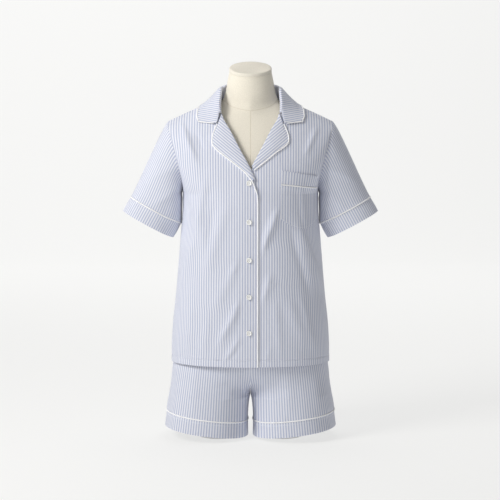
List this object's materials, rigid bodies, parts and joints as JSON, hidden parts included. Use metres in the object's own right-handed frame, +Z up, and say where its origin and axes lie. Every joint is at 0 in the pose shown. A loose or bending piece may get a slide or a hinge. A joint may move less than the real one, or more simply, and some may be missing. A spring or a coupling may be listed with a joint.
{
  "type": "short pyjama set on a dress form",
  "caption": "Short-sleeved pyjama top with notched collar and chest pocket, worn with matching shorts on a limbless dress form.",
  "frame": {"origin": "on the ground under the middle of the part's box", "axes": "+Z up; the front of the set faces -Y; the wearer's right is -X"},
  "size_m": [0.6146, 0.2641, 0.9057],
  "materials": {
    "striped_cotton": "matt",
    "white_piping": "satin",
    "button": "semi-gloss",
    "form_linen": "matt",
    "form_cap": "matt",
    "display_block": "matt"
  },
  "bodies": {
    "root": {"back": "striped_cotton", "button_1": "button", "button_2": "button", "button_3": "button", "button_4": "button", "button_5": "button", "collar": "striped_cotton", "collar_piping": "white_piping", "cuff_left": "striped_cotton", "cuff_piping_left": "white_piping", "cuff_piping_right": "white_piping", "cuff_right": "striped_cotton", "form_block_left": "display_block", "form_block_right": "display_block", "form_neck_cap": "form_cap", "form_trunk": "form_linen", "front_left": "striped_cotton", "front_piping_right": "white_piping", "front_right": "striped_cotton", "lapel_left": "striped_cotton", "lapel_piping_left": "white_piping", "lapel_right": "striped_cotton", "leg_band_left": "striped_cotton", "leg_band_right": "striped_cotton", "leg_piping_left": "white_piping", "leg_piping_right": "white_piping", "pocket": "striped_cotton", "pocket_band": "striped_cotton", "pocket_piping": "white_piping", "shorts_back_left": "striped_cotton", "shorts_back_right": "striped_cotton", "shorts_front_left": "striped_cotton", "shorts_front_right": "striped_cotton", "sleeve_left": "striped_cotton", "sleeve_right": "striped_cotton", "waistband": "striped_cotton"}
  },
  "joints": []
}
